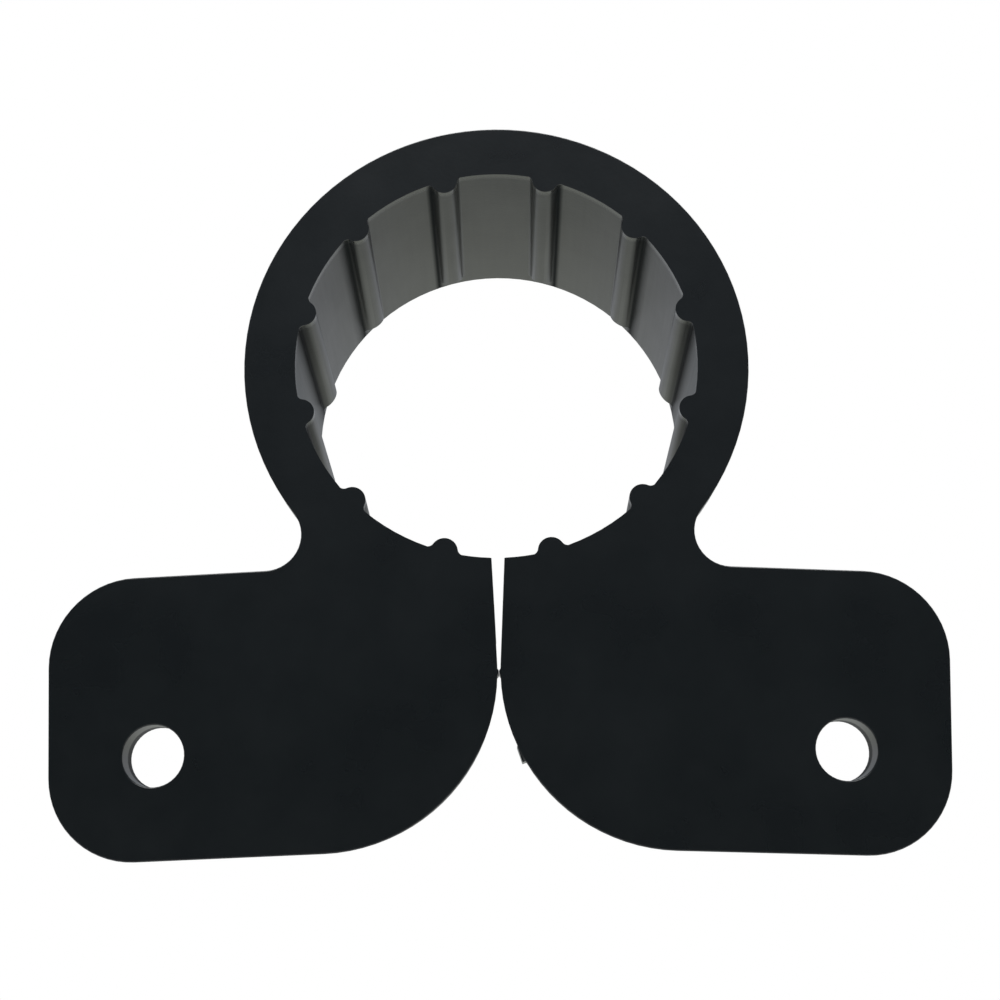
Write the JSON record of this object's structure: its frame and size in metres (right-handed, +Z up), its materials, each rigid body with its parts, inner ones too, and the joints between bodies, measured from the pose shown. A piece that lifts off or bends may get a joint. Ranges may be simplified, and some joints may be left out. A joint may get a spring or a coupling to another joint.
{
  "type": "pipe hanger",
  "caption": "One-piece plastic pipe hanger: a deep split ring lined with half-round ribs that grip the pipe, and two flat ears, flush with its front end, that take screws.",
  "frame": {"origin": "midway between the two screw holes, on the back of the ears", "axes": "+X along the row of screw holes to the right, +Y along the pipe from the flush front to the back, +Z up from the ears to the ring"},
  "size_m": [0.065, 0.024, 0.0557],
  "materials": {
    "moulded_plastic": "moulded black polypropylene, fine matt grain"
  },
  "bodies": {
    "root": {"hanger_body": "moulded_plastic"}
  },
  "joints": []
}
